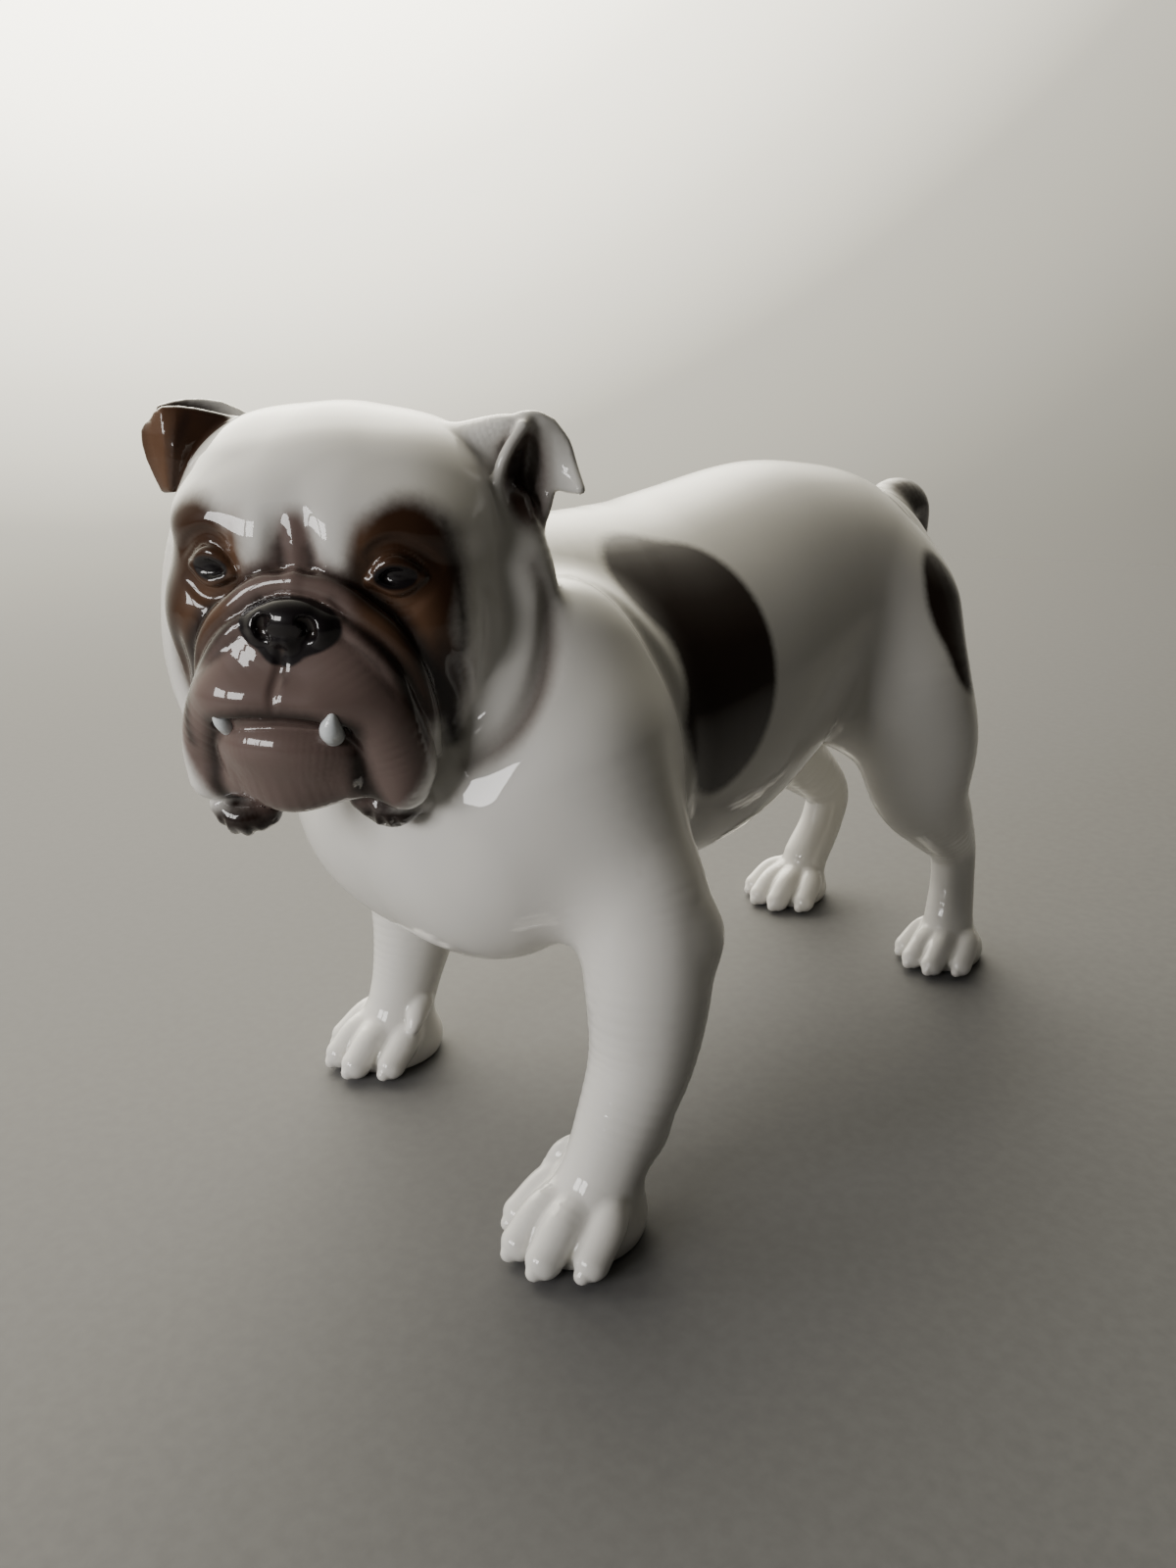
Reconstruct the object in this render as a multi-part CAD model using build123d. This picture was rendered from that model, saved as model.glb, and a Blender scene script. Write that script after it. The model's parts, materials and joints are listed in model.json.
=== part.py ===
"""Standing bulldog figurine in glazed porcelain, as the castings it is assembled from.

Millimetres. The dog looks along -Y, its left side is +X and +Z is up. The trunk, the neck and the
head are hollow shells of even wall, the legs are hollow down to the elbow and the stifle, and the
ears, the jaw, the teeth and the tail are solid. Every casting ends on the surface that it is luted
to, so that the pieces meet face to face. The origin is on the ground, in the middle of the
figurine's outer box.
"""

import os

from build123d import *

# ---- driving dimensions --------------------------------------------------------------------------
WALL = 3.5  # even wall of the hollow castings
LEG_WALL = 3.5
VENT_RADIUS = 2.5  # hole under the belly, and the passages from the trunk into the legs
VENT_Y = 4.0
HEAD_CENTRE = (2.5, -86.0, 120.5)
HEAD_YAW = 41.0  # degrees that the head is turned to the dog's left
HEAD_TILT = 4.4  # degrees that the head leans to the same side
EAR_THICKNESS = 3.0

# Trunk from the chest to the rump: place along Y, centre height, half width, half height.
TRUNK = [
    (-91.5, 78.0, 9.0, 9.0),
    (-87.0, 78.0, 23.0, 21.0),
    (-75.0, 80.0, 35.0, 33.0),
    (-56.0, 84.0, 41.0, 40.0),
    (-30.0, 87.0, 41.0, 40.0),
    (0.0, 89.5, 37.0, 41.0),
    (25.0, 95.5, 31.0, 37.5),
    (45.0, 101.0, 28.5, 29.5),
    (65.0, 99.5, 29.0, 27.0),
    (82.0, 98.0, 26.0, 23.0),
    (93.0, 98.0, 15.0, 14.0),
    (97.0, 98.0, 6.0, 5.0),
]
CAVITY_SECTIONS = slice(1, -2)  # the sections that are wide enough for the hollow

# Neck from the withers into the skull: centre, direction, half width, half height.
NECK = [
    ((0.0, -32.0, 96.0), (0.0, -1.0, 0.5), 32.0, 29.0),
    ((0.0, -52.0, 105.0), (0.1, -1.0, 0.4), 33.0, 31.0),
    ((1.0, -68.0, 112.0), (0.3, -1.0, 0.3), 30.0, 31.0),
    ((3.0, -80.0, 116.0), (0.5, -1.0, 0.2), 25.0, 28.0),
]

# Limbs from the body down: centre, half width across the dog, half depth along it.
LIMBS = {
    "left_foreleg": [
        ((20.0, -50.0, 106.0), 12.0, 16.0),
        ((40.0, -50.0, 86.0), 15.0, 20.0),
        ((46.5, -52.0, 64.0), 15.5, 17.5),
        ((50.0, -57.0, 46.0), 13.0, 13.5),
        ((50.0, -62.0, 30.0), 10.5, 11.0),
        ((50.0, -67.0, 14.0), 9.5, 10.0),
    ],
    "right_foreleg": [
        ((-20.0, -48.0, 106.0), 12.0, 16.0),
        ((-38.0, -48.0, 86.0), 15.0, 20.0),
        ((-42.0, -48.0, 64.0), 14.5, 16.5),
        ((-41.0, -51.0, 46.0), 12.0, 13.0),
        ((-39.5, -55.0, 30.0), 10.0, 10.5),
        ((-38.0, -58.0, 14.0), 9.0, 9.5),
    ],
    "left_hind_leg": [
        ((12.0, 68.0, 102.0), 12.0, 18.0),
        ((26.0, 62.0, 80.0), 14.5, 23.0),
        ((31.0, 57.0, 62.0), 13.5, 18.0),
        ((33.0, 59.0, 47.0), 10.5, 13.5),
        ((32.0, 69.0, 33.0), 8.0, 10.0),
        ((31.0, 71.0, 12.0), 7.0, 7.5),
    ],
    "right_hind_leg": [
        ((-12.0, 68.0, 102.0), 12.0, 18.0),
        ((-24.0, 63.0, 80.0), 14.5, 23.0),
        ((-27.0, 60.0, 62.0), 13.5, 18.0),
        ((-27.5, 64.0, 47.0), 10.5, 13.5),
        ((-26.0, 74.0, 33.0), 8.0, 10.0),
        ((-26.0, 73.0, 12.0), 7.0, 7.5),
    ],
}
HOLLOW_LIMB_SECTIONS = 4  # the hollow of a leg ends at this section, below it the leg is solid

# Paws: middle on the ground, half width, half length, height of the instep.
PAWS = {
    "left_foreleg": ((49.5, -74.0), 14.0, 15.0, 16.0),
    "right_foreleg": ((-38.0, -65.0), 13.5, 14.5, 15.5),
    "left_hind_leg": ((31.0, 65.5), 11.5, 12.5, 13.0),
    "right_hind_leg": ((-26.0, 66.0), 11.5, 12.5, 13.0),
}
TOE_SPREAD = (-0.72, -0.26, 0.26, 0.72)  # toes across the paw, in half widths
TOE_REACH = (0.42, 0.66, 0.66, 0.42)  # the same toes' centres ahead of the middle, in half lengths

# Head, in its own frame: X to the head's left, -Y the way the dog looks, +Z to the crown.
SKULL = ((0.0, 4.0, 8.0), (30.0, 29.0, 27.0))
CHEEK = ((18.0, -3.0, -7.0), (15.5, 19.0, 23.0))
BROW = ((13.5, -14.0, 14.0), (12.0, 11.0, 10.0))
MUZZLE = ((0.0, -19.0, -2.0), (19.0, 13.5, 13.0))
FLEW = ((14.0, -20.5, -15.0), (8.5, 11.0, 19.0))
NOSE = ((0.0, -30.0, 4.0), (9.0, 4.5, 6.0))
JAW = ((0.0, -21.0, -21.5), (13.5, 12.0, 9.5))
TOOTH = ((9.7, -30.5, -18.5), 2.4, 6.5)  # foot of a lower canine, radius, height
EAR = ((32.0, 2.0, 21.0), (10.0, 8.0, 15.0))
EAR_LEAN = 24.0  # degrees that the ears stand outward
TAIL = [
    ((-1.5, 84.0, 112.0), 9.5),
    ((-2.5, 90.0, 112.5), 8.0),
    ((-3.0, 95.5, 110.0), 7.0),
    ((-3.5, 99.0, 105.0), 5.5),
    ((-3.0, 101.0, 100.0), 4.0),
]


# ---- shapes -------------------------------------------------------------------------------------
def ellipsoid(centre, radii):
    """Solid ellipsoid with its half axes along X, Y and Z."""
    return Pos(*centre) * scale(Sphere(1.0), by=radii)


def mirrored(centre):
    """The same place on the other side of the middle plane."""
    x, y, z = centre
    return (-x, y, z)


def pair(centre, radii):
    """Two equal ellipsoids, left and right."""
    return ellipsoid(centre, radii) + ellipsoid(mirrored(centre), radii)


def limb(sections, shrink=0.0):
    """Solid through level ellipses, drawn in by the wall where it is a hollow."""
    return loft([Plane(origin=c) * Ellipse(rx - shrink, ry - shrink) for c, rx, ry in sections])


def trunk(sections, shrink=0.0):
    """Trunk through upright ellipses set along Y."""
    faces = []
    for y, z, half_width, half_height in sections:
        plane = Plane(origin=(0, y, z), x_dir=(1, 0, 0), z_dir=(0, 1, 0))
        faces.append(plane * Ellipse(half_width - shrink, half_height - shrink))
    return loft(faces)


def neck(shrink=0.0):
    """Neck that rises forward from the withers and turns with the head."""
    faces = []
    for centre, direction, half_width, half_height in NECK:
        across = Vector(0, 0, 1).cross(Vector(*direction))
        plane = Plane(origin=centre, x_dir=across, z_dir=direction)
        faces.append(plane * Ellipse(half_width - shrink, half_height - shrink))
    return loft(faces)


def on_neck(shape):
    """Carries a shape from the head's own frame to its place on the neck."""
    return Pos(*HEAD_CENTRE) * Rot(0, 0, HEAD_YAW) * Rot(0, HEAD_TILT, 0) * shape


def paw(middle, half_width, half_length, height):
    """Paw with four toes, cut flat at the sole."""
    x, y = middle
    shape = ellipsoid((x, y, 2.0), (half_width * 0.85, half_length * 0.8, height - 2.0))
    toe_width = half_width * 0.30
    for spread, reach in zip(TOE_SPREAD, TOE_REACH):
        toe = (x + spread * half_width, y - reach * half_length, height * 0.22)
        shape += ellipsoid(toe, (toe_width, half_length * 0.36, height * 0.36))
    return shape - Pos(x, y, -height) * Box(6 * half_width, 6 * half_length, 2 * height)


def body_solid():
    """Outer form of the trunk and the neck together."""
    return trunk(TRUNK) + neck()


def head_solid():
    """Outer form of the head without its jaw, teeth and ears."""
    shape = ellipsoid(*SKULL) + pair(*CHEEK) + pair(*BROW)
    shape += ellipsoid(*MUZZLE)
    shape += pair(*FLEW)
    shape += ellipsoid(*NOSE)
    return on_neck(shape)


def head_hollow():
    """Hollow of the skull and the cheeks."""
    centre, radii = SKULL
    return on_neck(ellipsoid(centre, tuple(r - WALL for r in radii)))


def passage(start, end):
    """Round hole between two points."""
    direction = Vector(*end) - Vector(*start)
    plane = Plane(origin=start, z_dir=direction)
    return extrude(plane * Circle(VENT_RADIUS), direction.length)


# ---- castings -----------------------------------------------------------------------------------
def torso(body, head, hollow):
    """Shell of the trunk and the neck, pierced for the belly vent and into each leg."""
    shell = body - head - hollow
    shell -= passage((0, VENT_Y, 30), (0, VENT_Y, 70))
    for sections in LIMBS.values():
        (x, y, z), _, _ = sections[1]
        shell -= passage((x * 0.4, y, z), (x, y, z - 4))
    return shell


def leg(name, body):
    """Leg with its paw, hollow down to the joint of the limb and open where it meets the trunk."""
    sections = LIMBS[name]
    shape = limb(sections) + paw(*PAWS[name])
    shape -= limb(sections[:HOLLOW_LIMB_SECTIONS], LEG_WALL)
    trimmed = shape - body
    return trimmed.solids().sort_by(SortBy.VOLUME)[-1]


def jaw_solid():
    """Lower jaw with its full lip."""
    return on_neck(ellipsoid(*JAW))


def canine(side):
    """Lower canine, a short blunt cone leaning outward."""
    (x, y, z), radius, height = TOOTH
    upright = (Align.CENTER, Align.CENTER, Align.MIN)
    cone = Rot(0, 8 * side, 0) * Cone(radius, radius * 0.3, height, align=upright)
    return on_neck(Pos(side * x, y, z) * cone)


def ear(side):
    """Ear as a cupped leaf that opens forward and leans outward."""
    (x, y, z), (rx, ry, rz) = EAR
    leaf = ellipsoid((0, 0, 0), (rx, ry, rz))
    leaf -= ellipsoid((0, -EAR_THICKNESS, 0), (rx - EAR_THICKNESS, ry, rz - EAR_THICKNESS))
    return on_neck(Pos(side * x, y, z) * Rot(0, EAR_LEAN * side, 0) * leaf)


def tail_solid():
    """Short screw tail that lies down over the rump."""
    shape = None
    for centre, radius in TAIL:
        ball = Pos(*centre) * Sphere(radius)
        shape = ball if shape is None else shape + ball
    return shape


def build():
    """All castings by name, in the dog's design frame."""
    body = body_solid()
    head = head_solid()
    jaw = jaw_solid()
    hollow = trunk(TRUNK[CAVITY_SECTIONS], WALL) + neck(WALL) + head_hollow()
    pieces = {
        "torso": torso(body, head, hollow),
        "head": head - hollow,
        "lower_jaw": jaw - head - body,
        "tail": tail_solid() - body,
    }
    for name in LIMBS:
        pieces[name] = leg(name, body)
    for word, side in (("left", 1), ("right", -1)):
        pieces[f"{word}_ear"] = ear(side) - head - body
        pieces[f"{word}_lower_canine"] = canine(side) - jaw - head
    return pieces


def main():
    """Centres the figurine over the origin and writes one STEP for each casting."""
    os.makedirs("parts", exist_ok=True)
    pieces = build()
    box = Compound(children=[Compound(p.solids()) for p in pieces.values()]).bounding_box()
    centre = box.center()
    for name, shape in pieces.items():
        print(name, len(shape.solids()), round(shape.volume), shape.is_valid)
        export_step(Pos(-centre.X, -centre.Y, -box.min.Z) * shape, f"parts/{name}.step")
    print("size", box.size, "centre", centre, "floor", box.min.Z)


main()
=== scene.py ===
"""Glazed porcelain bulldog: its visible surface, modelled as soft clay and painted under a clear glaze.

The form is a signed distance in the dog's own frame, in millimetres: X to its left, Y to its tail,
Z up. Shapes are laid on, cut away or drawn in one after another with soft joins, as a modeller works
clay. Each casting's skin is then taken from that one form, so that the luted joints show no seam.
"""

import json
import math
from collections import Counter

import bpy
import numpy as np
from mathutils import Matrix, Vector


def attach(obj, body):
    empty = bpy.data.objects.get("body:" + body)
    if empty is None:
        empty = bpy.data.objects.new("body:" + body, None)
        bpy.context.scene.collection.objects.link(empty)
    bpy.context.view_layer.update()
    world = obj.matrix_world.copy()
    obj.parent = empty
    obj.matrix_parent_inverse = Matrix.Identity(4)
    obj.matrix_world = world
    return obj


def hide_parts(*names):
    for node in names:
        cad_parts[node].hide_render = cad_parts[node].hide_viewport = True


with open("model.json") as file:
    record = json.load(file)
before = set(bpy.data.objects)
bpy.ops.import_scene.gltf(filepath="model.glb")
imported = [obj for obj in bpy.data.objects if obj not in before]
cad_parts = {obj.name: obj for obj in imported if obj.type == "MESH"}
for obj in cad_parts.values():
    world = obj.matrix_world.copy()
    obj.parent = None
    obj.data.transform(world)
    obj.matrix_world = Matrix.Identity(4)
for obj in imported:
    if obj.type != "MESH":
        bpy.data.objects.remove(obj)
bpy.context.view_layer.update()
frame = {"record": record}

# ---- scale and place, from the frame ------------------------------------------------------------
LEFT_FOREPAW = (49.5, -74.0)
RIGHT_HINDPAW = (-26.0, 66.0)
HEAD_CENTRE = (2.5, -86.0, 120.5)
HEAD_YAW = 41.0
HEAD_TILT = 4.4

SOLES = {m["name"]: np.array(m["pos_m"]) for m in frame["record"]["mounts"]}
DIAGONAL = np.hypot(LEFT_FOREPAW[0] - RIGHT_HINDPAW[0], LEFT_FOREPAW[1] - RIGHT_HINDPAW[1])
MM = float(np.linalg.norm(SOLES["left_forepaw_sole"] - SOLES["right_hindpaw_sole"]) / DIAGONAL)
SHIFT = SOLES["left_forepaw_sole"] - MM * np.array([*LEFT_FOREPAW, 0.0])

BODY_CELL = 1.0
HEAD_CELL = 0.5
PAW_CELL = 0.6
TOOTH_CELL = 0.3
FAR = 60.0  # distance told where nothing is near


def row(points):
    """Dog-frame millimetres to row-frame metres, for points in columns or a single point."""
    points = np.asarray(points, float)
    return points * MM + (SHIFT[:, None] if points.ndim == 2 else SHIFT)


# ---- clay ---------------------------------------------------------------------------------------
def turned(x=0.0, y=0.0, z=0.0):
    """Rotation matrix for turns about X, then Y, then Z, in degrees."""
    about = [Matrix.Rotation(math.radians(a), 3, n) for a, n in ((z, "Z"), (y, "Y"), (x, "X"))]
    return np.array(about[0] @ about[1] @ about[2])


def spline(points, steps):
    """Catmull-Rom curve through the points, steps samples for each span."""
    p = np.asarray(points, float)
    p = np.vstack([2 * p[0] - p[1], p, 2 * p[-1] - p[-2]])
    t = np.linspace(0, 1, steps, endpoint=False)[:, None]
    spans = []
    for a, b, c, d in zip(p, p[1:], p[2:], p[3:]):
        spans.append(b + 0.5 * t * (c - a + t * (2 * a - 5 * b + 4 * c - d + t * (3 * (b - c) + d - a))))
    return np.vstack(spans + [p[-2:-1]])


def joined(a, b, soft):
    """Union of two distances with a fillet about soft wide."""
    overlap = np.maximum(soft - np.abs(a - b), 0.0) / soft
    return np.minimum(a, b) - overlap * overlap * soft / 4


class Ball:
    """Ellipsoid, turned about its centre."""

    def __init__(self, centre, radii, turn=None):
        self.centre = np.array(centre, float)
        self.radii = np.array(radii, float)
        self.turn = np.eye(3) if turn is None else turn
        reach = np.sqrt(((self.turn * self.radii) ** 2).sum(1))
        self.low, self.high = self.centre - reach, self.centre + reach

    def __call__(self, p):
        q = self.turn.T @ (p - self.centre[:, None]) / self.radii[:, None]
        near = np.sqrt((q * q).sum(0)) + 1e-9
        slope = np.sqrt(((q / self.radii[:, None]) ** 2).sum(0)) + 1e-9
        return near * (near - 1) / slope


class Rope:
    """Round bar along a smooth curve, its radius changing from point to point."""

    def __init__(self, points, radii, steps=6):
        path = spline(np.column_stack([np.asarray(points, float), radii]), steps)
        self.path, self.radii = path[:, :3], path[:, 3]
        widest = self.radii.max()
        self.low, self.high = self.path.min(0) - widest, self.path.max(0) + widest

    def __call__(self, p):
        value = np.full(p.shape[1], 1e9)
        for a, b, ra, rb in zip(self.path, self.path[1:], self.radii, self.radii[1:]):
            span = b - a
            t = np.clip((span @ (p - a[:, None])) / (span @ span), 0, 1)
            off = p - a[:, None] - span[:, None] * t
            far = np.sqrt((off * off).sum(0))
            value = np.minimum(value, far - (ra + (rb - ra) * t))
        return value


class Line:
    """Smooth line with a strength that changes from point to point."""

    def __init__(self, path, strength):
        self.path, self.strength = path, strength
        self.low, self.high = path.min(0), path.max(0)

    def __call__(self, p):
        """Nearest distance and the strength there, as a bump of any width."""
        best = np.full(p.shape[1], 1e9)
        strong = np.zeros(p.shape[1])
        for a, b, sa, sb in zip(self.path, self.path[1:], self.strength, self.strength[1:]):
            span = b - a
            t = np.clip((span @ (p - a[:, None])) / (span @ span), 0, 1)
            off = p - a[:, None] - span[:, None] * t
            far = (off * off).sum(0)
            closer = far < best
            best = np.where(closer, far, best)
            strong = np.where(closer, sa + (sb - sa) * t, strong)
        return lambda width: strong * np.exp(-best / width**2)


class Barrel:
    """Trunk through upright ovals along Y, closed by a rounded cap at each end."""

    def __init__(self, sections, front, rear):
        self.table = spline(sections, 8)
        self.front, self.rear = front, rear
        y, z, wide, high = self.table.T
        self.low = np.array([-wide.max(), y[0] - front, (z - high).min()])
        self.high = np.array([wide.max(), y[-1] + rear, (z + high).max()])

    def level(self, p):
        ys, zs, wides, highs = self.table.T
        y = np.clip(p[1], ys[0], ys[-1])
        wide, high, z = (np.interp(y, ys, v) for v in (wides, highs, zs))
        past = p[1] - y
        past = past / np.where(past < 0, self.front, self.rear)
        return np.sqrt((p[0] / wide) ** 2 + ((p[2] - z) / high) ** 2 + past**2) - 1

    def __call__(self, p):
        value = self.level(p)
        step = 0.5
        slope = 0.0
        for axis in np.eye(3) * step:
            slope = slope + (self.level(p + axis[:, None]) - value) ** 2
        return value * step / (np.sqrt(slope) + 1e-9)


class Ground:
    """Everything below the plane the soles stand on."""

    low, high = np.array([-90.0, -140.0, -20.0]), np.array([90.0, 140.0, 0.0])

    def __call__(self, p):
        return p[2]


class Leaf:
    """Thin curved sheet through a grid of points, with a rounded rim."""

    def __init__(self, grid, thickness, steps=5):
        rows = [spline(r, steps) for r in np.asarray(grid, float)]
        columns = np.array([spline(c, steps) for c in np.stack(rows, 1)])
        self.net = columns
        self.half = thickness / 2
        flat = columns.reshape(-1, 3)
        self.low, self.high = flat.min(0) - self.half, flat.max(0) + self.half

    def __call__(self, p):
        net = self.net
        best = np.full(p.shape[1], 1e9)
        for i in range(net.shape[0] - 1):
            for j in range(net.shape[1] - 1):
                a, b, c, d = net[i, j], net[i + 1, j], net[i, j + 1], net[i + 1, j + 1]
                best = np.minimum(best, patch_distance(p, a, b, c, d))
        return best - self.half


def patch_distance(p, a, b, c, d):
    """Distance to a small four-cornered patch, by its nearest inner point."""
    u_axis, v_axis = (b - a + d - c) / 2, (c - a + d - b) / 2
    q = p - ((a + b + c + d) / 4)[:, None]
    uu, uv, vv = u_axis @ u_axis, u_axis @ v_axis, v_axis @ v_axis
    qu, qv = u_axis @ q, v_axis @ q
    det = uu * vv - uv * uv
    u = np.clip((qu * vv - qv * uv) / det, -0.5, 0.5)
    v = np.clip((qv - u * uv) / vv, -0.5, 0.5)
    u = np.clip((qu - v * uv) / uu, -0.5, 0.5)
    off = q - u_axis[:, None] * u - v_axis[:, None] * v
    twist = (a - b - c + d)[:, None] * (u * v)
    off = off - twist
    return np.sqrt((off * off).sum(0))


def slope_of(form, p, step=0.05):
    """Gradient of the form at points, from a tetrahedron of samples."""
    ends = np.array([(1, -1, -1), (-1, -1, 1), (-1, 1, -1), (1, 1, 1)]) * step
    return sum(end[:, None] * form(p + end[:, None]) for end in ends) / (4 * step * step)


def settle(form, p, times=2):
    """Moves points along the slope until they lie on the form's surface."""
    for _ in range(times):
        slope = slope_of(form, p)
        move = form(p) * slope / ((slope * slope).sum(0) + 1e-9)
        p = p - np.clip(move, -1.0, 1.0)
    return p


class Clay:
    """Form built up in steps, each with the box outside which it changes nothing."""

    def __init__(self, margin=2.0):
        self.steps = []
        self.margin = margin  # how far outside a shape its distance still has to be told
        self.low = np.full(3, 1e9)
        self.high = np.full(3, -1e9)

    def add(self, shape, soft=1.0):
        """Lays a shape on with a soft join."""
        self.low, self.high = np.minimum(self.low, shape.low), np.maximum(self.high, shape.high)
        self.steps.append((shape, soft + self.margin, lambda d, s: joined(d, s, soft)))

    def cut(self, shape, soft=1.0):
        """Takes a shape away with a soft edge."""
        self.steps.append((shape, soft + self.margin, lambda d, s: -joined(-d, s, soft)))

    def draw(self, line, height, width):
        """Raises a fold along a line, or with a negative height presses a groove."""
        path = settle(self, spline(line, 4).T, 6).T
        at = np.linspace(0, 1, len(path))
        fade = np.clip(np.minimum(at, 1 - at) / 0.3, 0, 1)
        self.steps.append((Line(path, fade), 2.6 * width, lambda d, s: d - height * s(width)))

    def __call__(self, p):
        d = np.full(p.shape[1], FAR)
        for shape, reach, lay in self.steps:
            low, high = shape.low - reach, shape.high + reach
            inside = (p[0] > low[0]) & (p[0] < high[0]) & (p[1] > low[1])
            inside &= (p[1] < high[1]) & (p[2] > low[2]) & (p[2] < high[2])
            near = np.flatnonzero(inside)
            if near.size:
                d[near] = lay(d[near], shape(p[:, near]))
        return d


class Posed:
    """A form carried to its place: its own frame's origin and axes, in the dog's frame."""

    def __init__(self, clay, origin, axes):
        self.clay, self.origin, self.axes = clay, np.array(origin), axes
        corners = [axes @ np.where(pick, clay.low, clay.high) for pick in np.ndindex(2, 2, 2)]
        self.low = np.min(corners, 0) + self.origin
        self.high = np.max(corners, 0) + self.origin

    def inward(self, p):
        """Dog-frame points in the form's own frame."""
        return self.axes.T @ (p - self.origin[:, None])

    def __call__(self, p):
        return self.clay(self.inward(p))


def flip(points, side):
    """Points given for the left side, brought to the side asked for."""
    return [(side * x, y, z) for x, y, z in points]


# ---- the dog ------------------------------------------------------------------------------------
# sections of the trunk from the breast to the rump: Y, height of the middle, half width, half height
TRUNK = [
    (-62.0, 83.0, 40.0, 40.5),
    (-30.0, 87.0, 40.0, 40.0),
    (0.0, 89.5, 37.0, 41.0),
    (25.0, 95.5, 32.0, 37.5),
    (45.0, 101.0, 28.0, 29.5),
    (58.0, 100.5, 24.5, 26.5),
    (68.0, 98.5, 20.0, 23.5),
]
# each paw: its middle on the floor, half width, half length and height
PAWS = [
    ((48.0, -77.0), 14.0, 16.0, 15.5),
    ((-36.5, -65.5), 13.5, 15.5, 15.0),
    ((31.0, 65.5), 11.5, 12.5, 12.0),
    ((-24.5, 68.0), 12.5, 12.5, 12.0),
]
# each toe: place across and ahead of the paw's middle, in paw sizes, and its relative thickness
TOES = ((-0.74, 0.40, 0.95), (-0.26, 0.74, 1.0), (0.26, 0.74, 1.0), (0.74, 0.38, 0.95))
TAIL = Rope([(0, 76, 112), (0, 81, 115.5), (0, 86, 114), (0, 89, 107)], [7.5, 7.0, 6.0, 4.0])


def body_clay():
    """Trunk, neck, shoulders and hips with the legs, the tail and the paws, cut off flat at the soles."""
    clay = Clay(margin=12)  # as wide as the softest join laid on these shapes
    clay.add(Barrel(TRUNK, front=29.0, rear=14.0))
    clay.add(Rope([(0, -30, 96), (-2, -48, 101), (-4, -64, 107), (-2, -80, 113)], [31, 28.5, 23.5, 19]), 8)
    for side in (1, -1):
        clay.add(Ball((side * 27, -52, 92), (16, 19, 30), turned(x=12)), 8)
        clay.add(Ball((side * 19, -69, 71), (19, 16, 19)), 12)
        clay.add(Ball((side * 28, -64, 80), (16, 17, 20)), 8)
        clay.add(Ball((side * 13, 53, 86), (15, 21, 26), turned(x=-8)), 12)
    clay.margin = 6  # the legs meet only the paws and the elbows
    forelegs(clay)
    hindlegs(clay)
    clay.margin = 2
    clay.add(TAIL, 4)
    for middle, wide, long, high in PAWS:
        paw(clay, middle, wide, long, high)
    clay.cut(Ground(), 0.8)
    return clay


def forelegs(clay):
    """Straight heavy forelegs, with the elbow, the heel pad and the dewclaw."""
    left = [
        (34, -58, 90), (40, -56, 74), (46, -55.5, 61), (49.5, -58, 49), (50, -61, 34),
        (49.5, -68, 20), (49, -72, 12),
    ]
    clay.add(Rope(left, [15, 14, 13.2, 12.2, 10.2, 8.4, 8.0]), 9)
    right = [
        (-33, -54, 90), (-37, -51, 74), (-39.5, -50, 58), (-38, -52, 46), (-36, -55, 32),
        (-35.5, -59, 20), (-35.5, -62, 12),
    ]
    clay.add(Rope(right, [15, 14, 13.2, 12, 10, 8.2, 7.8]), 9)
    for side, (x, y) in ((1, (54.5, -50)), (-1, (-46, -45))):
        clay.add(Ball((x, y, 57), (4, 5, 5.5)), 5)
        clay.add(Ball((x - side * 1.0, y - 13, 20), (2.4, 3.4, 4)), 4)
    clay.add(Rope([(42, -70, 15), (39.5, -73, 13.5), (38.2, -75.5, 11.5)], [2.6, 2.4, 1.5]), 1.2)
    clay.add(Rope([(-28.5, -60, 15), (-26.5, -63, 13.5), (-25.4, -65, 11.5)], [2.6, 2.4, 1.5]), 1.2)


def hindlegs(clay):
    """Light hind legs: thigh, hock and the long foot under it."""
    left = [
        (16, 57, 92), (24, 52, 77), (28.5, 53, 65), (30, 53.5, 52), (30.5, 59.5, 43), (29, 70, 31),
        (29.5, 70.5, 22), (30.5, 68, 12),
    ]
    clay.add(Rope(left, [18, 17.5, 15.2, 12.0, 9.4, 6.2, 5.6, 6.2]), 8)
    right = [
        (-18, 62, 92), (-23, 58, 77), (-25, 59, 65), (-26, 64, 52), (-25, 71, 43), (-23, 82, 31),
        (-22.5, 80, 22), (-23.5, 74, 12),
    ]
    clay.add(Rope(right, [18, 17.5, 15.2, 12.0, 9.4, 6.6, 6.0, 6.4]), 8)


def paw(clay, middle, wide, long, high):
    """Rounded foot with four arched toes, each ending in a short claw."""
    x, y = middle
    clay.add(Ball((x, y + 0.1 * long, 0.26 * high), (wide * 0.78, long * 0.8, high * 0.60)), 4)
    for across, ahead, size in TOES:
        heel = (x + 0.35 * across * wide, y + 0.30 * long, 0.78 * high)
        knuckle = (x + 0.80 * across * wide, y - (ahead - 0.42) * long, 0.56 * high)
        tip = (x + across * wide, y - ahead * long, 0.24 * high)
        clay.add(Rope([heel, knuckle, tip], [0.16 * wide, 0.27 * wide * size, 0.26 * wide * size]), 1.0)
        claw = (tip[0] + 0.03 * across * wide, tip[1] - 0.19 * wide, 0.16 * high)
        clay.add(Rope([tip, claw], [0.13 * wide, 0.12 * wide], 2), 0.5)


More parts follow.
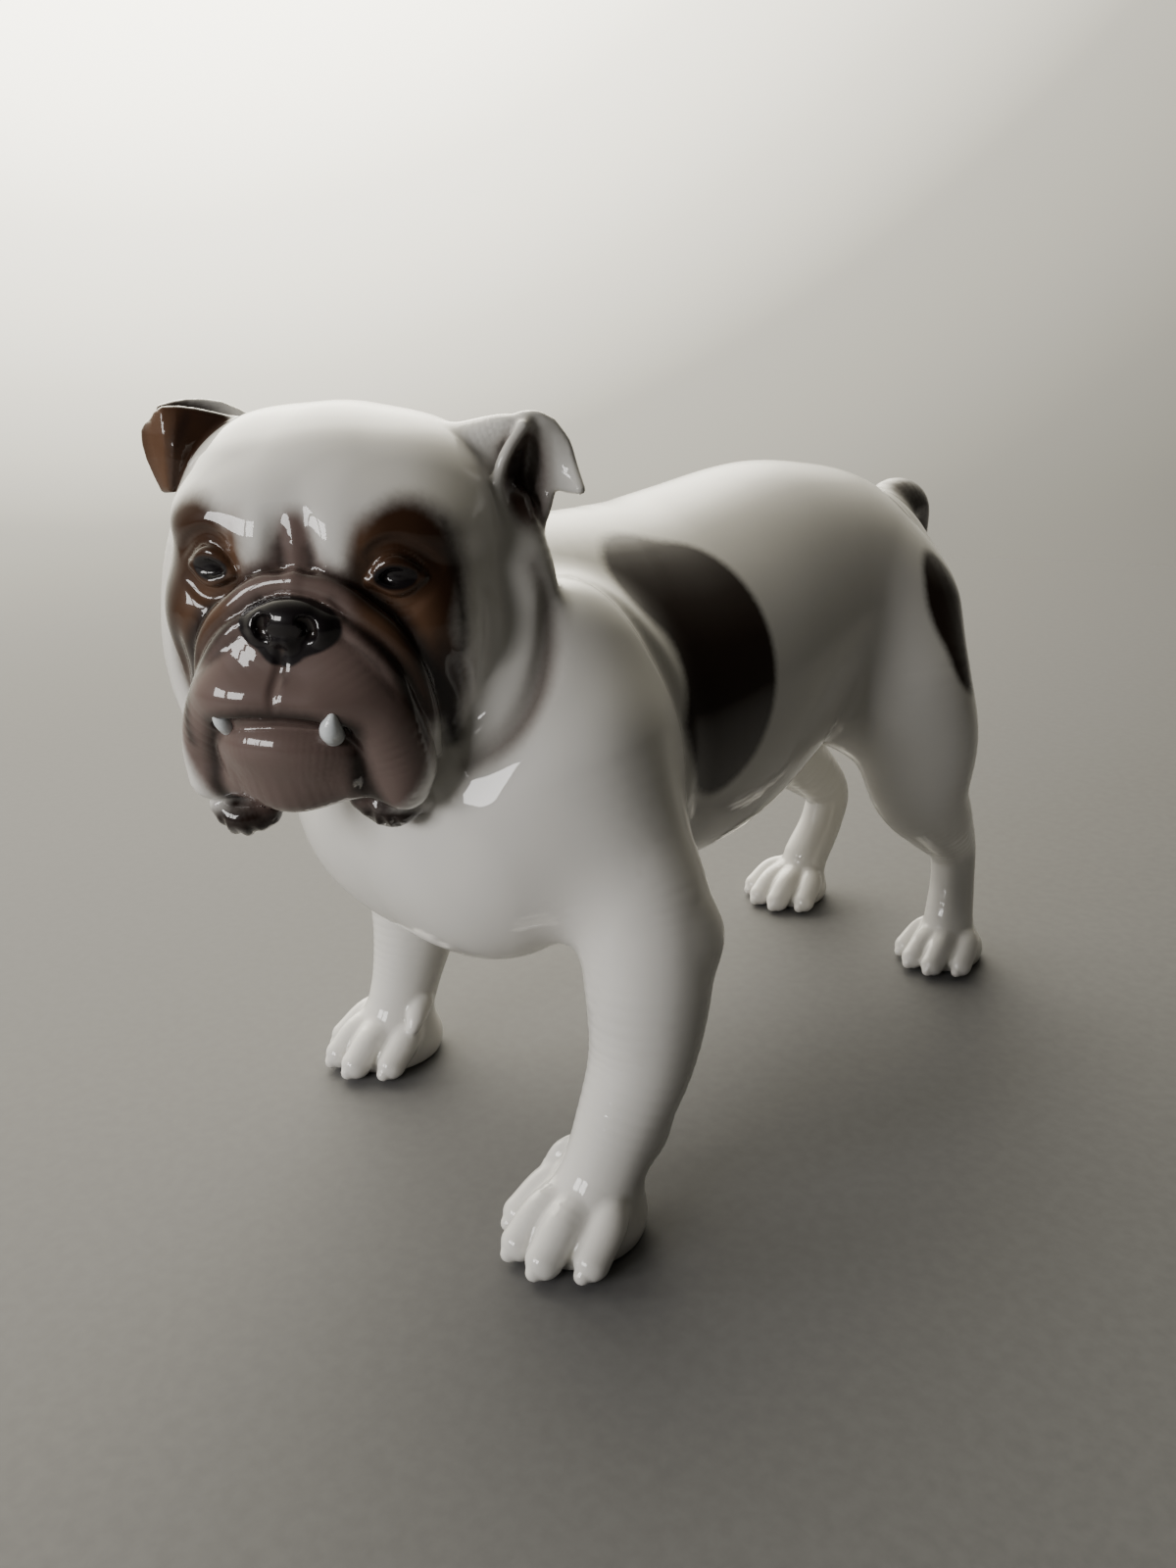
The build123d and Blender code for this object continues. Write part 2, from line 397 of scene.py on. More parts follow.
def head_clay():
    """Head in its own frame: X to its left, Y to its back, Z to its crown."""
    clay = Clay(margin=9)  # the first masses are joined softly to one another and to the cheeks
    clay.add(Ball((0, 4, 9), (29, 28.5, 26.3)))
    clay.add(Ball((0.5, -7, 16), (24, 15, 15.5)), 8)
    clay.add(Ball((0, 8, -6), (29, 26, 24)), 10)
    clay.margin = 5
    for side in (1, -1):
        clay.add(Ball((side * 14, 3, 16), (14, 20, 16)), 6)
        clay.add(Ball((side * 17, 1, -7), (15.5, 18, 23)), 8)
        clay.add(Ball((side * 7.2, -16.5, 15), (7, 7.5, 8)), 6)
        clay.add(Ball((side * 16, -13.5, 17), (9, 8, 5.5), turned(y=side * 12, z=side * 25)), 5)
        clay.add(Ball((side * 19, -13, 1), (8, 8.5, 9)), 6)
    for side in (1, -1):
        eye(clay, side)
        reach = side if side > 0 else 0.85 * side  # the right cheek is pressed flatter
        roll = [(30, 3, 18), (33, 1, 8), (34, 0, -2), (32.5, -2, -12), (27.5, -5, -22), (18.5, -10, -29)]
        clay.add(Rope([(reach * x, y, z) for x, y, z in roll], [4, 5.2, 5.8, 6.2, 6, 4.5]), 4)
    muzzle(clay)
    chin(clay)
    clay.margin = 2
    folds(clay)
    nose(clay)
    mouth(clay)
    return clay


def eye(clay, side):
    """Small dark eye set between two lids under the brow."""
    clay.cut(Ball((side * 15.8, -27.0, 10), (5.8, 5.4, 4.4)), 3)
    clay.add(Ball((side * 15.8, -18.3, 9.9), (4.0, 4.0, 3.6)), 0.3)
    inner, outer = (11.8, -22.7, 9.2), (19.6, -19.9, 9.7)
    upper = [inner, (13.6, -22.6, 11.5), (15.6, -22.2, 12.4), (17.7, -21.3, 11.6), outer]
    lower = [inner, (13.8, -22.5, 8.2), (15.7, -22.1, 7.6), (17.7, -21.2, 8.1), outer]
    clay.add(Rope(flip(upper, side), [0.7, 1.1, 1.3, 1.1, 0.7]), 0.9)
    clay.add(Rope(flip(lower, side), [0.7, 0.9, 1.0, 0.9, 0.7]), 0.9)
    upper_fold = [
        (11, -24, 13), (13.2, -23, 15.2), (16.5, -22, 15.8), (20, -19.5, 14), (22.5, -17, 10.5),
    ]
    clay.draw(flip(upper_fold, side), -0.8, 1.0)
    lower_fold = [(11.5, -24, 6.6), (14.5, -23.5, 4.8), (18, -22, 4.9), (21.5, -18.5, 7.4)]
    clay.draw(flip(lower_fold, side), -0.6, 1.0)


def muzzle(clay):
    """Upper lips: two pads that hang down past the jaw."""
    clay.add(Ball((-0.8, -17.5, -3), (17, 12, 11)), 4)
    left = [(4, -22.0, -1), (8.5, -22.6, -7), (12.5, -22.0, -14), (15.6, -20.6, -22), (15.6, -19.8, -26.8)]
    clay.add(Rope(left, [5.5, 6.6, 6.8, 6.0, 4.9]), 3)
    right = [
        (-5, -22.0, -1), (-10.5, -22.4, -7), (-15.5, -21.2, -14), (-19.8, -19.0, -22),
        (-19.6, -18.6, -28.4),
    ]
    clay.add(Rope(right, [5.5, 6.6, 6.4, 4.8, 4.5]), 3)
    clay.add(Ball((2.4, -26.2, -10.8), (8.2, 5.8, 4.6)), 5)
    clay.add(Ball((-8.4, -26.2, -10.8), (8.2, 5.8, 4.6)), 5)


def chin(clay):
    """Broad lower jaw and the crinkled lip that shows beneath each pad."""
    shelf = [
        (-11.8, -23.6, -19.2), (-8, -25.8, -19.0), (-3, -26.8, -18.8), (2, -26.2, -19.2),
        (6.6, -23.8, -20.0),
    ]
    clay.add(Rope(shelf, [4.2, 4.8, 5.0, 4.8, 4.4]), 0.8)
    clay.add(Rope([(-10.4, -20.4, -26), (-3.5, -22.0, -26.3), (5, -20.6, -24.6)], [5.6, 6.4, 5.8]), 6)
    clay.add(Rope([(-18.2, -18.5, -34), (-14.4, -19.5, -35.8), (-10.2, -19, -34.4)], [2.6, 3.6, 3.0]), 0.8)
    clay.add(Rope([(7.5, -17, -31), (12.4, -17.5, -33), (16.5, -16, -31.6)], [2.8, 3.4, 2.6]), 0.8)
    for x, z in ((-17.4, -36), (-15, -37.4), (-12.2, -37.2), (8.6, -33), (11.2, -34.4), (13.8, -34.6)):
        clay.draw([(x, -22.5, z + 1.4), (x + 0.6, -20.5, z - 1.4), (x + 0.4, -18, z - 2)], -0.9, 0.8)


def folds(clay):
    """Rope of skin over the nose and down past the lips, with the folds and furrows around it."""
    rope = [
        (0, -25.0, 8.9), (4, -24.9, 8.3), (7.6, -24.7, 6.7), (11.4, -24.3, 3.7),
        (14.8, -23.2, 0.3), (17.4, -21.7, -4.0), (19.0, -19.8, -9.6), (19.8, -17.2, -15.6),
        (19.6, -14.5, -22),
    ]
    ridge = [
        (7.6, -26.6, 2.6), (10.5, -26.4, 0.6), (13.0, -25.7, -2.0), (15.2, -24.6, -5.4),
        (16.6, -23.4, -9.6), (17.0, -22.6, -14), (16.6, -21.8, -18),
    ]
    for side in (1, -1):
        clay.add(Rope(flip(rope, side), [2.4, 2.4, 2.4, 2.4, 2.4, 2.3, 2.1, 1.9, 1.6]), 0.8)
        clay.add(Rope(flip(ridge, side), [1.2, 1.5, 1.7, 1.8, 1.7, 1.5, 1.0]), 1.4)
        lip_furrow = [(21.5, -20, 1), (24.2, -16, -6), (25.2, -12, -13), (23.6, -9, -20)]
        clay.draw(flip(lip_furrow, side), -1.0, 1.6)
        cheek_furrow = [(27, -12, 8), (28, -11, -1), (27.5, -10, -10), (25, -10, -18), (20.5, -12, -25)]
        clay.draw(flip(cheek_furrow, side), -0.8, 2.0)
    for x, deep in ((-3.2, -1.1), (2.2, -0.8)):
        furrow = [(x - 0.6, -22, 20), (x, -24.0, 15.5), (x + 0.2, -25.4, 12), (x + 0.4, -25.8, 9)]
        clay.draw(furrow, deep, 2.0)


def nose(clay):
    """Broad wet nose with a rounded wing around each nostril."""
    clay.add(Ball((-0.6, -26.2, 3.0), (6.4, 4.6, 4.2)), 0.6)
    clay.add(Ball((-1.4, -27.2, -0.2), (3.0, 3.4, 2.0)), 1.2)
    slit = ((2.8, -30.0, 3.7), (4.0, -29.6, 3.0), (4.2, -29.4, 1.4), (3.2, -29.8, 0.3))
    for side in (1, -1):
        clay.add(Ball((-0.4 + side * 5.2, -26.0, 1.8), (3.1, 3.9, 3.4)), 1.2)
        comma = [(-0.9 + side * x, y, z) for x, y, z in slit]
        clay.cut(Rope(comma, [0.6, 1.1, 1.1, 0.6]), 0.6)
    philtrum = [
        (-1.3, -32, 1.5), (-1.8, -32, -2.0), (-2.3, -32, -5), (-2.8, -32, -8.5),
        (-3.0, -32, -12.5),
    ]
    clay.draw(philtrum, -0.7, 0.8)


def mouth(clay):
    """Gap between the upper lip and the jutting lower one."""
    gap = [
        (-14.0, -27.6, -15.6), (-11, -30.2, -15.0), (-5.7, -31.8, -14.2), (-0.9, -32.1, -13.9),
        (4, -31.2, -14.5), (8.2, -29.2, -15.4),
    ]
    clay.cut(Rope(gap, [1.0, 1.1, 1.1, 1.1, 1.1, 1.0]), 0.8)


def left_ear():
    """Rose ear: a deep cup that opens forward, its tip folded over to the outside."""
    clay = Clay()
    clay.add(Rope([(15, 3, 26), (22, 3, 28.6), (28, 2.4, 31.4), (32.5, 2.2, 32.9)], [5, 4.0, 2.6, 1.3]), 2)
    clay.add(Ball((26, 5, 20), (5, 6, 9)), 4)
    cup = [
        [(32.6, 0.5, 32.4), (33.2, 3.4, 32.6), (35.2, 4.4, 32.0)],
        [(29.8, -1.6, 27.4), (31.6, 6.4, 27.6), (36.2, 5.4, 27.4)],
        [(28.6, -1.8, 22.6), (31.2, 7.0, 22.3), (36.6, 5.8, 21.8)],
        [(30.0, -1.6, 17.6), (32.2, 5.6, 17.2), (35.8, 4.6, 17.0)],
        [(31.8, -0.6, 12.4), (32.8, 2.4, 11.8), (33.8, 2.2, 12.0)],
    ]
    clay.add(Leaf(cup, 2.0, 3), 1.0)
    flap = [
        [(32.2, 2.6, 33.6), (34.4, 3.4, 33.8), (36.8, 4.6, 32.6)],
        [(35.0, 4.4, 30.0), (37.2, 4.6, 30.4), (39.2, 5.2, 29.4)],
        [(36.2, 5.6, 25.6), (38.4, 5.0, 26.0), (40.6, 4.8, 25.6)],
        [(36.8, 5.9, 22.2), (39.6, 4.6, 21.8), (42.4, 2.6, 21.8)],
    ]
    clay.add(Leaf(flap, 2.0, 3), 1.2)
    return clay


def right_ear():
    """Rose ear seen from its closed side: front sheet, hanging tip and the wall behind."""
    clay = Clay()
    front = [
        [(-20.5, 2.5, 31.0), (-26.5, 0.5, 32.4), (-31.6, -0.8, 32.6), (-34.4, 1.0, 30.6)],
        [(-23.5, 1.5, 27.2), (-27.8, -0.6, 28.8), (-31.2, -1.6, 29.0), (-36.0, 0.8, 28.8)],
        [(-26.5, 0.5, 22.8), (-29.0, -1.4, 24.6), (-31.0, -1.4, 24.6), (-35.6, 1.0, 24.4)],
        [(-29.4, 0.2, 18.6), (-30.4, -0.8, 20.4), (-31.4, -0.6, 19.4), (-33.4, 1.0, 19.0)],
    ]
    clay.add(Leaf(front, 1.9, 2), 1.6)
    behind = [
        [(-19.5, 9.5, 30.5), (-25.0, 8.6, 33.0), (-30.5, 6.2, 33.4), (-33.6, 2.6, 32.6)],
        [(-22.0, 9.0, 25.5), (-27.5, 8.4, 27.0), (-32.0, 5.6, 27.5), (-34.4, 2.4, 28.0)],
        [(-25.0, 8.5, 19.0), (-29.5, 7.0, 20.5), (-32.0, 4.4, 21.5), (-33.2, 2.0, 22.5)],
    ]
    clay.add(Leaf(behind, 1.9, 2), 1.6)
    return clay


def on_head(clay):
    """A clay made in the head's frame, carried to the head's place."""
    return Posed(clay, HEAD_CENTRE, turned(z=HEAD_YAW) @ turned(y=HEAD_TILT))


def at_head(points):
    """Points of the head's frame, in the dog's frame."""
    place = on_head(Clay())
    return [tuple(place.axes @ np.array(p) + place.origin) for p in points]


BODY = body_clay()
HEAD = on_head(head_clay())
BODY.add(HEAD, 3)
EARS = {"left_ear": on_head(left_ear()), "right_ear": on_head(right_ear())}
for ear in EARS.values():
    BODY.add(ear, 1.5)
SHOULDER_CREASE = [
    (28, -46, 127), (37, -42, 116), (42, -38, 103), (44, -36, 90), (47, -35, 78), (50, -35, 66),
]
BODY.draw(SHOULDER_CREASE, -1.8, 1.8)
CHEEK_FOLD = at_head([
    (34.5, -2, 9), (37.5, -2.5, 3), (38.2, -4.5, -5), (37.5, -8, -12.5),
    (34.8, -11, -18.5), (30.3, -12, -23), (25, -12.5, -26),
])
BODY.draw(CHEEK_FOLD, -2.4, 2.0)


# ---- skin ---------------------------------------------------------------------------------------
CORNERS = np.array(list(np.ndindex(2, 2, 2)))
NINE = np.array(list(np.ndindex(3, 3, 3)))


def sample(form, low, cell, blocks):
    """The form's values on a grid, worked out finely only near its surface."""
    values = None
    corners = np.array(list(np.ndindex(*blocks))) * 9
    for size in (9, 3, 1):
        middle = low[:, None] + cell * (corners.T + (size - 1) / 2)
        d = form(middle)
        if size == 9:
            values = d.reshape(blocks).repeat(9, 0).repeat(9, 1).repeat(9, 2)
        else:
            spots = np.array(list(np.ndindex(size, size, size)))
            at = (corners[:, None, :] + spots).reshape(-1, 3).T
            values[tuple(at)] = np.repeat(d, size**3)
        keep = np.abs(d) < size * cell * 1.15
        if size > 1:
            corners = (corners[keep][:, None, :] + NINE * (size // 3)).reshape(-1, 3)
    return values


def skin(form, low, high, cell):
    """Quads over the form's surface in a box, with a vertex in each cell that the surface crosses."""
    low, high = np.asarray(low, float), np.asarray(high, float)
    blocks = tuple(np.ceil((high - low) / (9 * cell)).astype(int))
    values = sample(form, low, cell, blocks)
    full = values < 0
    cells = tuple(n - 1 for n in values.shape)
    count = np.zeros(cells, np.int8)
    for i, j, k in CORNERS:
        count += full[i:i + cells[0], j:j + cells[1], k:k + cells[2]]
    at = np.argwhere((count > 0) & (count < 8))
    index = np.full(cells, -1, np.int32)
    index[tuple(at.T)] = np.arange(len(at))
    total, hits = np.zeros((len(at), 3)), np.zeros(len(at))
    for a in CORNERS:
        for axis in np.flatnonzero(a == 0):
            b = a.copy()
            b[axis] = 1
            va, vb = values[tuple((at + a).T)], values[tuple((at + b).T)]
            crossed = (va < 0) != (vb < 0)
            share = np.where(crossed, va / np.where(crossed, va - vb, 1.0), 0.0)
            total += crossed[:, None] * (a + share[:, None] * (b - a))
            hits += crossed
    verts = low + cell * (at + total / hits[:, None])
    quads = []
    for axis in range(3):
        u, v = (axis + 1) % 3, (axis + 2) % 3
        here = [slice(1, -1)] * 3
        here[axis] = slice(0, -1)
        ahead = list(here)
        ahead[axis] = slice(1, None)
        first, second = full[tuple(here)], full[tuple(ahead)]
        edge = np.argwhere(first != second)
        offset = np.ones(3, int)
        offset[axis] = 0
        corner = edge + offset
        outward = first[tuple(edge.T)]
        ring = []
        for du, dv in ((-1, -1), (0, -1), (0, 0), (-1, 0)):
            spot = corner.copy()
            spot[:, u] += du
            spot[:, v] += dv
            ring.append(index[tuple(spot.T)])
        quad = np.stack(ring, 1)
        quad[~outward] = quad[~outward, ::-1]
        quads.append(quad)
    return verts.T, np.vstack(quads)


# ---- castings -----------------------------------------------------------------------------------
def head_ball(centre, radii):
    """Ellipsoid given in the head's frame."""
    turn = HEAD.axes
    return Ball(HEAD.axes @ np.array(centre) + HEAD.origin, radii, turn)


class Swelled:
    """A form grown by a margin all round."""

    def __init__(self, form, margin):
        self.form, self.margin = form, margin
        self.low, self.high = form.low - margin, form.high + margin

    def __call__(self, p):
        return self.form(p) - self.margin


# Where each casting ends: the first territory that holds a point owns it, the torso has the rest.
TERRITORY = {
    "left_ear": Swelled(EARS["left_ear"], 0.7),
    "right_ear": Swelled(EARS["right_ear"], 0.7),
    "lower_jaw": head_ball((-3.2, -24, -25), (12.4, 13, 9.5)),
    "tail": Swelled(TAIL, 0.8),
    "left_foreleg": Ball((50, -62, 0), (40, 50, 40)),
    "right_foreleg": Ball((-40, -57, 0), (40, 50, 39)),
    "left_hind_leg": Ball((31, 68, 0), (30, 45, 46)),
    "right_hind_leg": Ball((-27, 70, 0), (27, 45, 46)),
    "head": head_ball((0, -6, 0), (48, 33, 48)),
    "torso": None,
}


def owned(name, p):
    """Positive where the casting owns a point, zero along its joints."""
    own = TERRITORY[name]
    value = np.full(p.shape[1], FAR) if own is None else -own(p)
    for other, shape in TERRITORY.items():
        if other == name:
            break
        value = np.minimum(value, shape(p))
    return value


def to_joint(name, p, times=4):
    """Moves points along the surface until they lie on the casting's joint."""
    def border(q):
        return owned(name, q)

    for _ in range(times):
        normal = slope_of(BODY, p)
        normal /= np.linalg.norm(normal, axis=0)
        across = slope_of(border, p)
        across -= normal * (across * normal).sum(0)
        move = border(p) * across / ((across * across).sum(0) + 0.05)
        p = settle(BODY, p - np.clip(move, -1.5, 1.5), 1)
    return p


def trimmed(name, p, quads):
    """The quads that a casting owns, their open rims moved onto its joints."""
    middle = p[:, quads].mean(2)
    kept = owned(name, middle) > 0
    rim = np.intersect1d(quads[kept], quads[~kept])
    if rim.size:
        p = p.copy()
        p[:, rim] = to_joint(name, p[:, rim])
    used, quads = np.unique(quads[kept], return_inverse=True)
    return p[:, used], quads.reshape(-1, 4)


def rims(quads):
    """Closed loops of the edges that only one quad has."""
    edges = np.vstack([quads[:, [i, (i + 1) % 4]] for i in range(4)])
    count = Counter(map(tuple, edges.tolist()))
    ahead = {}
    for (a, b), times in count.items():
        for _ in range(times - count.get((b, a), 0)):
            ahead.setdefault(a, []).append(b)
    loops = []
    while ahead:
        start = min(ahead)
        loop = [start]
        while True:
            following = ahead[loop[-1]].pop()
            if not ahead[loop[-1]]:
                del ahead[loop[-1]]
            if following == start:
                break
            loop.append(following)
        loops.append(loop)
    return loops


def closed(p, quads):
    """Adds a shallow lid inside each open rim, so that the casting's skin is closed."""
    faces = quads.tolist()
    extra = []
    for loop in rims(quads):
        hub = p.shape[1] + len(extra)
        extra.append(p[:, loop].mean(1))
        faces += [[b, a, hub] for a, b in zip(loop, loop[1:] + loop[:1])]
    if extra:
        p = np.column_stack([p, np.array(extra).T])
    return p, faces


def casting(name, form, cell, slot, owner=None):
    """One piece of the dog: its skin, its paint and its place in the frame."""
    if owner is None:
        low, high = form.low - 3, form.high + 3
    else:
        box = TERRITORY[name] or form
        low, high = np.maximum(box.low - 2, form.low - 3), np.minimum(box.high + 2, form.high + 3)
    p, quads = skin(form, low, high, cell)
    p = settle(form, p)
    if owner is not None:
        p, quads = trimmed(name, p, quads)
    p, faces = closed(p, quads)
    normals = slope_of(form, p)
    normals /= np.linalg.norm(normals, axis=0) + 1e-9
    mesh = bpy.data.meshes.new(name + "_glazed")
    mesh.from_pydata(row(p).T.tolist(), [], faces)
    mesh.shade_smooth()
    for mask, values in paint(form, p).items():
        mesh.attributes.new(mask, "FLOAT", "POINT").data.foreach_set("value", values.astype(np.float32))
    mesh.normals_split_custom_set_from_vertices(normals.T.tolist())
    piece = bpy.data.objects.new(name + "_glazed", mesh)
    bpy.context.scene.collection.objects.link(piece)
    piece.data.materials.append(MATERIALS[slot])
    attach(piece, "root")
    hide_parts(name)
    return piece


# ---- paint --------------------------------------------------------------------------------------
def stroke(area, line, width, soft=1.0):
    """Adds an airbrushed line, laid on the head's surface, to a painted area."""
    path = settle(HEAD.clay, spline(line, 3).T, 8).T
    widths = np.interp(np.linspace(0, 1, len(path)), np.linspace(0, 1, len(width)), width)
    area.add(Rope(path, widths, 1), soft)


def head_paint():
    """Painted areas of the head, painted shade among them, as clays in the head's frame."""
    areas = {name: Clay(6) for name in ("taupe", "brown", "tan", "groove_shade_and_dark_rim", "ink")}
    areas["taupe"].add(Ball((-1.2, -27, -13.0), (25.0, 16, 26.0)))
    areas["taupe"].add(Ball((-0.4, -24, 13), (4, 6, 7.5)), 4)
    areas["brown"].add(Ball((16.6, -18, 10), (9.4, 14, 12.8)))
    areas["brown"].add(Ball((19.8, -14, -4), (6.6, 14, 13)), 4)
    areas["brown"].add(Ball((-18.0, -18, 9.5), (9.2, 14, 12.2)))
    areas["brown"].add(Ball((-22.6, -14, -5), (6.8, 14, 14)), 4)
    areas["brown"].add(Ball((-30, 0, 27), (12, 6.4, 13)), 0.5)
    areas["brown"].add(Ball((31.6, 2.6, 21), (2.6, 4.4, 8.6)))
    areas["taupe"].add(Ball((32.4, 2.0, 22), (5.0, 4.6, 10.6)))
    for side in (1, -1):
        areas["tan"].add(Ball((side * 15.0, -22, 4), (5.0, 6, 3.6)))
        areas["tan"].add(Ball((side * 18.5, -20, 1), (3.6, 6, 4.4)), 3)
        areas["tan"].add(Ball((side * 11.0, -22, 14), (2.0, 6, 5.0)), 2)
    areas["tan"].add(Ball((-33, -2, 26), (4, 4, 9)))
    outer = [
        (4, -25.4, 10.8), (7.6, -25, 9.2), (10.8, -24.4, 6.9), (13.9, -23.4, 3.9),
        (17.6, -21.5, -0.3), (20.6, -18.5, -5.7), (22.3, -15, -12), (22.6, -12, -20),
    ]
    under = [
        (6.1, -27.7, 6.3), (9.2, -27.7, 3.6), (12.3, -27.2, 0.8), (15.2, -26.2, -2.5),
        (17.6, -24.9, -6.9), (18.6, -23.5, -12), (18.4, -22, -18),
    ]
    second = [(8.7, -29.1, 0.2), (11.7, -28.3, -1.9), (14.2, -27.4, -4.8), (15.8, -26, -9)]
    rim = [(21.0, -16, 17), (22.8, -15, 11), (23.0, -15, 4), (22, -14, -3), (21.4, -13, -10)]
    # painted shade in the grooves beside and under the nose rope, and dark paint along the outer rims of
    # the eye patches
    for side in (1, -1):
        stroke(areas["groove_shade_and_dark_rim"], flip(outer, side), (0.5, 1.6, 1.9, 1.6))
        stroke(areas["groove_shade_and_dark_rim"], flip(under, side), (0.5, 1.2, 1.4, 0.8))
        stroke(areas["groove_shade_and_dark_rim"], flip(second, side), (0.0, 0.4, 0.0))
        stroke(areas["groove_shade_and_dark_rim"], flip(rim, side), (0.0, 0.6, 0.6, 0.2), 3)
    # painted shade in the mouth gap, at the mouth corners and along the flews' inner edges
    lip_line = [
        (-14.2, -28, -15.2), (-11, -30.4, -15), (-5.7, -32, -14.2), (-0.9, -32.2, -13.8),
        (4, -31.4, -14.5), (8.4, -29.6, -15.6),
    ]
    stroke(areas["groove_shade_and_dark_rim"], lip_line, (1.6, 1.3, 1.3, 2.0))
    left_corner = [(8.6, -30.4, -15), (10.2, -28.4, -20), (10.2, -25.5, -26), (12, -22, -31)]
    stroke(areas["groove_shade_and_dark_rim"], left_corner, (1.2, 1.8, 2.4))
    right_corner = [(-14.8, -28, -16), (-16.6, -25.4, -21), (-17.0, -23, -28), (-15, -21, -33)]
    stroke(areas["groove_shade_and_dark_rim"], right_corner, (1.0, 1.4, 1.6))
    # painted shade in the brow furrows and down the philtrum
    for x in (-3.0, 2.3):
        stroke(areas["groove_shade_and_dark_rim"], [(x, -24, 17), (x, -24, 14), (x + 0.3, -25.5, 10)], (-0.8, 0.6, 1.0))
    stroke(areas["groove_shade_and_dark_rim"], [(-1.6, -32, -2), (-2.2, -32, -7), (-2.6, -32, -12)], (0.8, -0.6, -1.0))
    # painted shade on the crinkled lips under the pads, in the ear openings and along the right ear's
    # crease
    areas["groove_shade_and_dark_rim"].add(Ball((-13.5, -19, -35.5), (7, 6, 3.4)), 1)
    areas["groove_shade_and_dark_rim"].add(Ball((12, -17, -33.8), (7, 6, 3.0)), 1)
    areas["groove_shade_and_dark_rim"].add(Ball((30.6, 3, 26), (1.2, 3.6, 5.5)), 1)
    areas["groove_shade_and_dark_rim"].add(Rope([(-27.5, -1, 32), (-29.2, -1.8, 27), (-30.6, -1.6, 20)], [0.8, 1.2, 0.6], 3), 1)
    areas["groove_shade_and_dark_rim"].add(Ball((-26, 4, 31.5), (6, 4, 3.5)), 1)
    areas["ink"].add(Ball((-0.6, -28.5, 2.2), (8.9, 6.0, 5.0)))
    areas["ink"].add(Ball((-1.6, -30, -2.2), (3.2, 4, 2.2)), 2)
    for side in (1, -1):
        areas["ink"].add(Ball((side * 15.8, -22, 9.9), (3.5, 6, 2.1)), 0.3)
    return areas


HEAD_PAINT = head_paint()


def coat_patches():
    """Dark patches of the coat, in the dog's frame."""
    flank = Clay(6)
    flank.add(Ball((40, -21, 104), (30, 14, 25)))
    flank.add(Ball((36, -31, 119), (30, 10, 10)), 6)
    flank.add(Ball((40, -27, 88), (30, 11, 13)), 5)
    hip = Clay(6)
    hip.add(Ball((30, 58, 95), (22, 8, 15)))
    hip.add(Ball((30, 59, 84), (22, 8, 8)), 3)
    return flank, hip


FLANK, HIP = coat_patches()


def paint(form, p):
    """Masks of the underglaze colours and of painted shade, in millimetres inside each area's edge, and
    the creases.
    """
    q = HEAD.inward(p)
    on_head = -head_ball((0, -6, 0), (50, 35, 50))(p)
    masks = {name: np.minimum(-area(q), on_head) for name, area in HEAD_PAINT.items()}
    # the flank's patch ends at the crease behind the shoulder
    behind_shoulder = p[1] + 37 + 0.20 * (p[2] - 90)
    coat = np.maximum(np.minimum(-FLANK(p), behind_shoulder), -HIP(p))
    coat = np.minimum(coat, p[0] - 10)
    masks["coat"] = np.maximum(coat, -TERRITORY["tail"](p))
    # painted shade with pooled glaze: darker where the surface is hollow, on the face and between the toes
    reach = 1.0
    around = sum(form(p + step[:, None]) for step in np.vstack([np.eye(3), -np.eye(3)]) * reach)
    hollow = -around / (6 * reach)
    on_face = -head_ball((0, -12, 0), (38, 28, 38))(p)
    masks["hollow"] = hollow * np.clip(on_face / 4, 0, 1)
    on_paw = np.clip((20 - p[2]) / 4, 0, 1)
    # painted shade with pooled glaze between the toes
    masks["toe_cleft_shade_and_pooled_glaze"] = hollow * on_paw
    # painted shade: a breath of brown in the fold behind the left cheek
    band = Rope(settle(BODY, np.array(CHEEK_FOLD).T, 8).T, [0.0, 0.8, 1.2, 1.4, 1.2, 0.6, -0.5])
    masks["shade"] = -band(p)
    return masks


# ---- materials ----------------------------------------------------------------------------------
class Nodes:
    """Short hand for a node tree."""

    def __init__(self, name):
        self.material = bpy.data.materials.new(name)
        self.material.use_nodes = True
        self.tree = self.material.node_tree
        self.shader = self.tree.nodes["Principled BSDF"]

    def node(self, kind, inputs=None, **settings):
        made = self.tree.nodes.new(kind)
        for key, value in settings.items():
            setattr(made, key, value)
        for key, value in (inputs or {}).items():
            if isinstance(value, bpy.types.NodeSocket):
                self.tree.links.new(value, made.inputs[key])
            else:
                made.inputs[key].default_value = value
        return made

    def mask(self, name):
        return self.node("ShaderNodeAttribute", attribute_name=name).outputs["Fac"]

    def noise(self, scale, detail=3.0):
        place = self.node("ShaderNodeTexCoord").outputs["Object"]
        made = self.node("ShaderNodeTexNoise", {"Vector": place, "Scale": scale, "Detail": detail})
        return made.outputs["Fac"]

    def math(self, operation, a, b=0.0, c=0.0):
        return self.node("ShaderNodeMath", {0: a, 1: b, 2: c}, operation=operation).outputs[0]

    def ramp(self, value, low, high, to_low=0.0, to_high=1.0):
        made = self.node("ShaderNodeMapRange", {"Value": value, "From Min": low, "From Max": high,
                                                "To Min": to_low, "To Max": to_high},
                         interpolation_type="SMOOTHSTEP")
        return made.outputs["Result"]

    def over(self, below, colour, share):
        made = self.node("ShaderNodeMix", {0: share, 6: below, 7: colour}, data_type="RGBA")
        return made.outputs[2]


WHITE = (0.76, 0.74, 0.70, 1)
GREY = (0.50, 0.51, 0.48, 1)
COAT = (0.022, 0.012, 0.008, 1)
BROWN = (0.042, 0.019, 0.010, 1)
TAN = (0.115, 0.060, 0.034, 1)
TAUPE = (0.150, 0.106, 0.094, 1)
